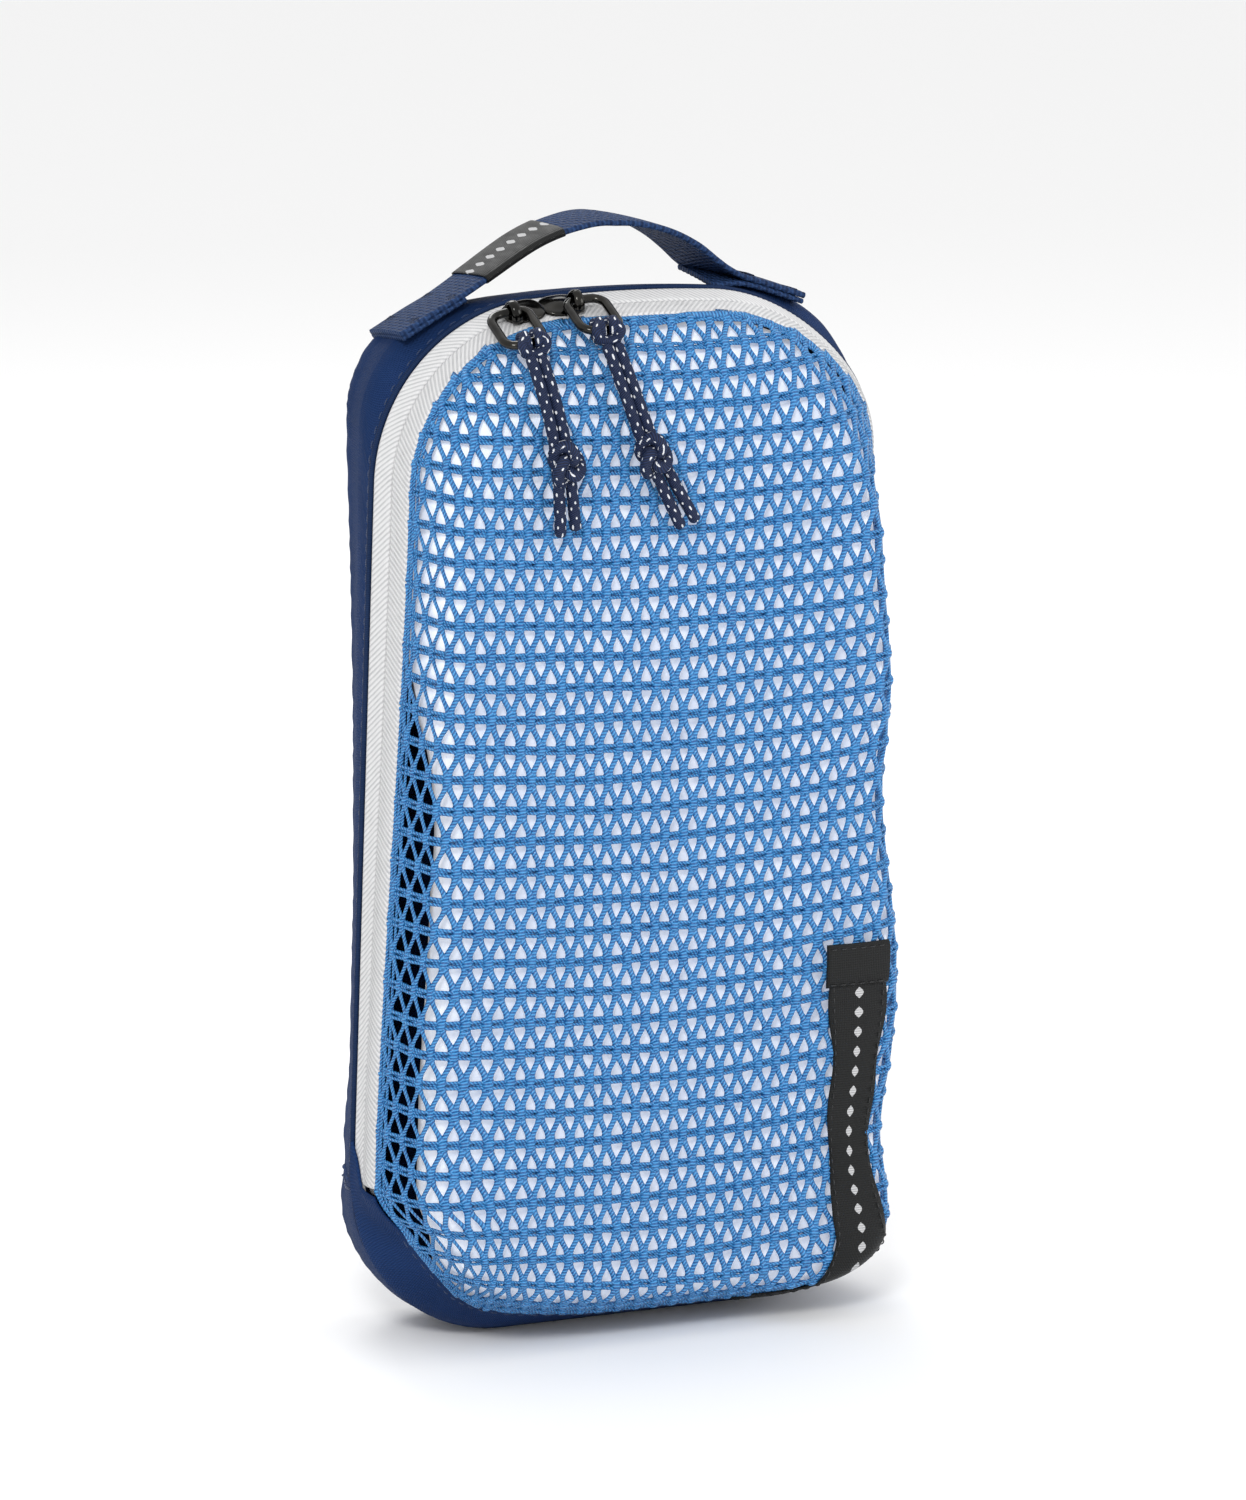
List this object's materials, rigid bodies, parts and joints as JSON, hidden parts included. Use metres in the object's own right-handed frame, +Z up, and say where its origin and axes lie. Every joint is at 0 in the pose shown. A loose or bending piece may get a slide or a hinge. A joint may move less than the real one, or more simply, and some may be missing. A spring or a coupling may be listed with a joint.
{
  "type": "packing cube",
  "caption": "Upright packing cube with a navy fabric shell, a blue mesh front that opens on an arched white zipper, cord pulls on its sliders, a webbing handle on top and a woven side label.",
  "frame": {"origin": "under the shell, at the middle of its base", "axes": "+Z up along the shell's height, -Y out of the mesh front, +X to the right seen from the front"},
  "size_m": [0.1306, 0.0571, 0.2506],
  "materials": {
    "navy_fabric": "matte twill",
    "navy_binding": "matte",
    "navy_webbing": "ribbed satin",
    "navy_thread": "satin thread",
    "zipper_white": "woven tape",
    "zipper_coil": "satin",
    "mesh_blue": "glossy knit",
    "filler_white": "soft",
    "label_black": "woven satin",
    "slider_metal": "glossy gunmetal",
    "cord_navy": "braided"
  },
  "bodies": {
    "shell": {"side_gusset": "navy_fabric", "bottom_panel": "navy_fabric", "back_panel": "navy_fabric", "back_binding": "navy_binding", "zipper_seam_rear": "navy_binding", "zipper_tape_rear": "zipper_white", "zipper_coil_rear": "zipper_coil", "zipper_end_tabs": "navy_fabric", "mesh_panel_lower": "mesh_blue", "mesh_seam_lower": "mesh_blue", "filler_sheet_lower": "filler_white", "label_strip_lower": "label_black", "handle_webbing": "navy_webbing", "handle_label": "label_black", "handle_fold_left": "navy_webbing", "handle_fold_right": "navy_webbing", "handle_bartacks": "navy_thread"},
    "lid": {"zipper_tape_front": "zipper_white", "zipper_coil_front": "zipper_coil", "mesh_panel": "mesh_blue", "mesh_seam": "mesh_blue", "filler_sheet": "filler_white", "label_strip": "label_black", "label_tab": "label_black"},
    "slider_left": {"slider_left": "slider_metal"},
    "slider_right": {"slider_right": "slider_metal"},
    "pull_left": {"pull_ring_left": "slider_metal", "cord_hitch_left": "cord_navy", "pull_cord_left": "cord_navy", "cord_knot_left": "cord_navy"},
    "pull_right": {"pull_ring_right": "slider_metal", "cord_hitch_right": "cord_navy", "pull_cord_right": "cord_navy", "cord_knot_right": "cord_navy"}
  },
  "joints": [
    {"name": "lid_fold", "type": "hinge", "parent": "shell", "child": "lid", "pos_m": [0, -0.0256, 0.038], "axis": [1, 0, 0], "range_deg": [0, 95]},
    {"name": "slider_left_travel", "type": "hinge", "parent": "lid", "child": "slider_left", "pos_m": [-0.0185, 0, 0.19384], "axis": [0, -1, 0], "range_deg": [0, 40]},
    {"name": "slider_right_travel", "type": "hinge", "parent": "lid", "child": "slider_right", "pos_m": [0, 0, -0.065], "axis": [0, 1, 0], "range_deg": [0, 6.5]},
    {"name": "pull_left_swing", "type": "hinge", "parent": "slider_left", "child": "pull_left", "pos_m": [-0.02598, -0.00806, 0.23343], "axis": [-0.9826, 0, -0.1857], "range_deg": [0, 80]},
    {"name": "pull_right_swing", "type": "hinge", "parent": "slider_right", "child": "pull_right", "pos_m": [-0.0171, -0.00806, 0.2343], "axis": [-0.9984, 0, -0.057], "range_deg": [0, 80]}
  ]
}
